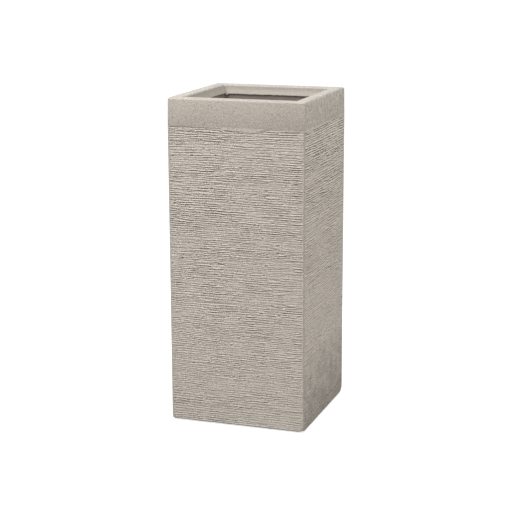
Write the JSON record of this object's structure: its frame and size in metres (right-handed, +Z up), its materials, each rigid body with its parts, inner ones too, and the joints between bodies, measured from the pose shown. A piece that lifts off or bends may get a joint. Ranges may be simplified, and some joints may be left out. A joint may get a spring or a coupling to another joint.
{
  "type": "tall square planter",
  "caption": "Tall square glass-fibre planter with combed walls, a smooth band under a turned-in rim, a drained floor with a lift-out plug, and rubber foot pads.",
  "frame": {"origin": "on the floor, under the middle of the planter", "axes": "+Z up; the front faces -Y, and +X is to the right seen from the front"},
  "size_m": [0.3, 0.3, 0.704],
  "materials": {
    "combed_coat": "matte",
    "smooth_coat": "matte",
    "raw_laminate": "matte",
    "sealant": "matte",
    "black_rubber": "matte"
  },
  "bodies": {
    "planter": {"outer_shell": "combed_coat", "rim_channel": "smooth_coat", "base_tray": "raw_laminate", "sealant_bead": "sealant", "foot_pad_front_left": "black_rubber", "foot_pad_front_right": "black_rubber", "foot_pad_back_left": "black_rubber", "foot_pad_back_right": "black_rubber"},
    "plug": {"drain_plug": "black_rubber"}
  },
  "joints": [
    {"name": "plug_lift", "type": "slide", "parent": "planter", "child": "plug", "axis": [0, 0, 1], "range_m": [0, 0.06]}
  ]
}
